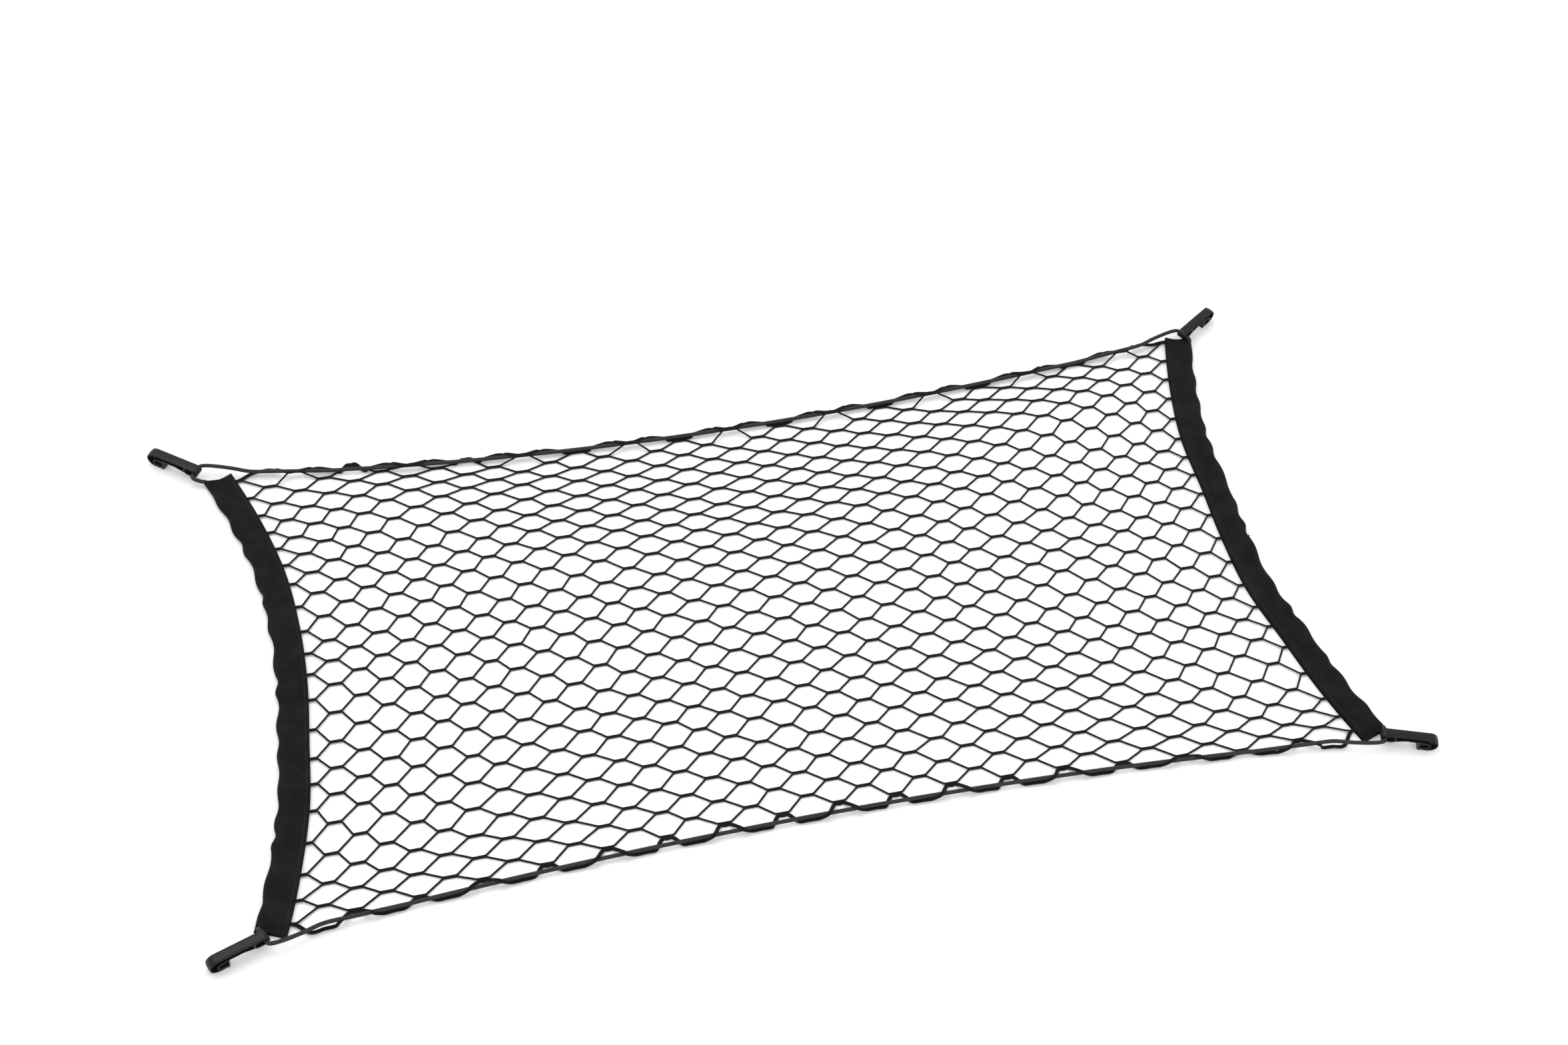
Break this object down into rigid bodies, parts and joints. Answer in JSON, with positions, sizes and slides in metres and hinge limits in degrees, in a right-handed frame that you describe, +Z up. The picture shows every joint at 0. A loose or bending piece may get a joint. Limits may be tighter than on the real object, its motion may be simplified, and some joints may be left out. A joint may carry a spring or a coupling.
{
  "type": "cargo net",
  "caption": "Flat elastic cargo net for a car boot: hexagonal netting on a loop of elastic cord, webbing bands at the short ends and sprung snap hooks at the corners.",
  "frame": {"origin": "under the middle of the whole net, on the surface it lies on", "axes": "+X along the long side, +Y across it towards the back edge, +Z up"},
  "size_m": [1.208, 0.608, 0.0174],
  "materials": {
    "netting": "black knitted polyester strands with a dull sheen",
    "webbing": "black ribbed grosgrain webbing",
    "thread": "black sewing thread",
    "elastic": "black braided sheath over a rubber core",
    "ferrule": "plain crimped metal, hidden in the band",
    "plastic": "black moulded plastic, satin"
  },
  "bodies": {
    "net": {"netting": "netting", "band_left": "webbing", "band_right": "webbing", "seam_left": "thread", "seam_right": "thread", "cross_seam": "thread", "elastic_cord": "elastic", "cord_ferrule": "ferrule"},
    "hook_back_left": {"hook_back_left": "plastic"},
    "hook_back_right": {"hook_back_right": "plastic"},
    "hook_front_left": {"hook_front_left": "plastic"},
    "hook_front_right": {"hook_front_right": "plastic"},
    "gate_back_left": {"gate_back_left": "plastic"},
    "gate_back_right": {"gate_back_right": "plastic"},
    "gate_front_left": {"gate_front_left": "plastic"},
    "gate_front_right": {"gate_front_right": "plastic"}
  },
  "joints": [
    {"name": "swing_back_left", "type": "hinge", "parent": "net", "child": "hook_back_left", "pos_m": [-0.54645, 0.26614, 0.0122], "axis": [0.6157, 0.788, 0], "range_deg": [-60, 100]},
    {"name": "gate_back_left", "type": "hinge", "parent": "hook_back_left", "child": "gate_back_left", "pos_m": [-0.55567, 0.27334, 0.00855], "axis": [0.6157, 0.788, 0], "range_deg": [0, 6], "stiffness_Nm_per_rad": 0.5},
    {"name": "swing_back_right", "type": "hinge", "parent": "net", "child": "hook_back_right", "pos_m": [0.54339, 0.2698, 0.0122], "axis": [0.5446, -0.8387, 0], "range_deg": [-60, 100]},
    {"name": "gate_back_right", "type": "hinge", "parent": "hook_back_right", "child": "gate_back_right", "pos_m": [0.55321, 0.27617, 0.00855], "axis": [0.5446, -0.8387, 0], "range_deg": [0, 6], "stiffness_Nm_per_rad": 0.5},
    {"name": "swing_front_left", "type": "hinge", "parent": "net", "child": "hook_front_left", "pos_m": [-0.55027, -0.28133, 0.0122], "axis": [-0.3256, 0.9455, 0], "range_deg": [-60, 100]},
    {"name": "gate_front_left", "type": "hinge", "parent": "hook_front_left", "child": "gate_front_left", "pos_m": [-0.56134, -0.28514, 0.00855], "axis": [-0.3256, 0.9455, 0], "range_deg": [0, 6], "stiffness_Nm_per_rad": 0.5},
    {"name": "swing_front_right", "type": "hinge", "parent": "net", "child": "hook_front_right", "pos_m": [0.55027, -0.28133, 0.0122], "axis": [-0.3256, -0.9455, 0], "range_deg": [-60, 100]},
    {"name": "gate_front_right", "type": "hinge", "parent": "hook_front_right", "child": "gate_front_right", "pos_m": [0.56134, -0.28514, 0.00855], "axis": [-0.3256, -0.9455, 0], "range_deg": [0, 6], "stiffness_Nm_per_rad": 0.5}
  ]
}
